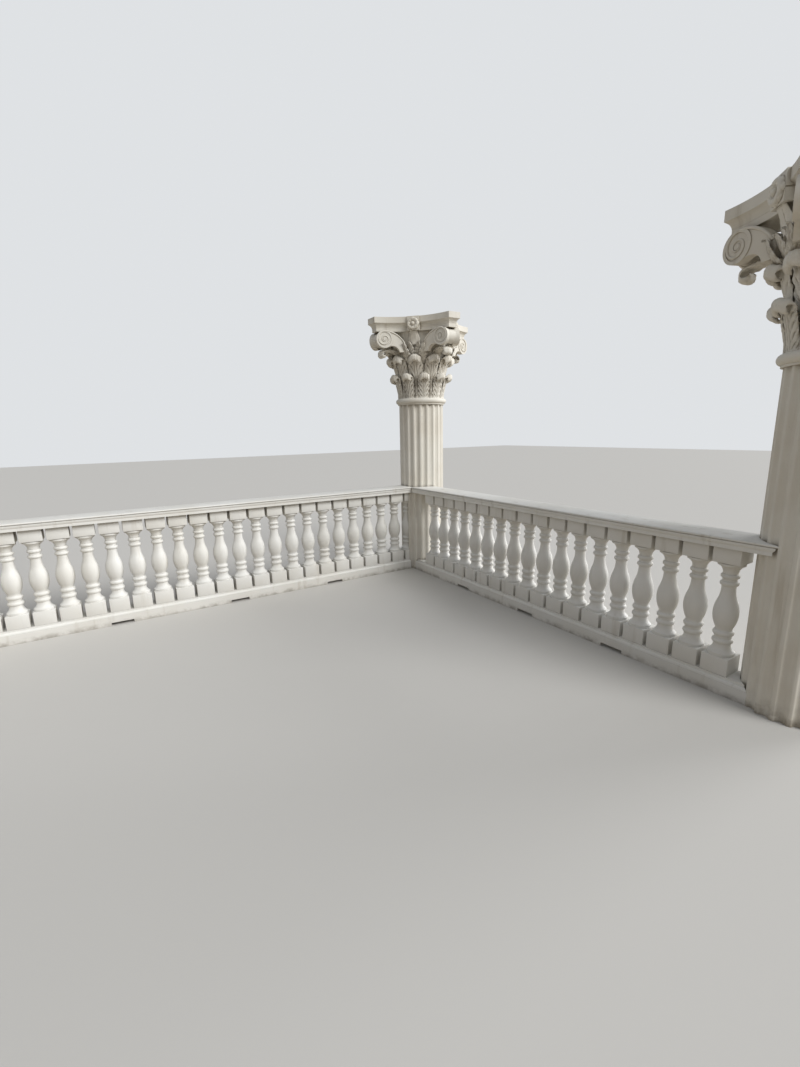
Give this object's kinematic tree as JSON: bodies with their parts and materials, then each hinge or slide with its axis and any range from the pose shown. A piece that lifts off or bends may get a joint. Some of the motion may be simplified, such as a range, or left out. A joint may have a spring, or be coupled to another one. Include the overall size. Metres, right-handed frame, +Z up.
{
  "type": "stone balustrade",
  "caption": "Cast stone balustrade: two runs of vase-shaped balusters between moulded rails meet at a right angle, with fluted columns that have leafy scrolled capitals as posts.",
  "frame": {"origin": "on the corner column's axis at its foot, on the floor", "axes": "+Z up; the longer, left run goes from the corner along -X and the right run along -Y, so the part is seen in the picture from the quarter between -X and -Y"},
  "size_m": [5.255, 4.577, 2.525],
  "materials": {
    "rail_stone": "matt white paint on cast stone",
    "column_stone": "matt cream paint on cast stone"
  },
  "bodies": {
    "root": {"corner_shaft": "column_stone", "corner_ring": "column_stone", "corner_bell": "column_stone", "corner_lower_leaves": "column_stone", "corner_upper_leaves": "column_stone", "corner_inner_leaves": "column_stone", "corner_scrolls": "column_stone", "corner_abacus": "column_stone", "corner_flowers": "column_stone", "left_shaft": "column_stone", "left_ring": "column_stone", "left_bell": "column_stone", "left_lower_leaves": "column_stone", "left_upper_leaves": "column_stone", "left_inner_leaves": "column_stone", "left_scrolls": "column_stone", "left_abacus": "column_stone", "left_flowers": "column_stone", "right_shaft": "column_stone", "right_ring": "column_stone", "right_bell": "column_stone", "right_lower_leaves": "column_stone", "right_upper_leaves": "column_stone", "right_inner_leaves": "column_stone", "right_scrolls": "column_stone", "right_abacus": "column_stone", "right_flowers": "column_stone", "left_bottom_rail": "rail_stone", "left_top_rail": "rail_stone", "right_bottom_rail": "rail_stone", "right_top_rail": "rail_stone", "left_balusters_1": "rail_stone", "left_balusters_2": "rail_stone", "left_balusters_3": "rail_stone", "left_balusters_4": "rail_stone", "right_balusters_1": "rail_stone", "right_balusters_2": "rail_stone", "right_balusters_3": "rail_stone"}
  },
  "joints": []
}
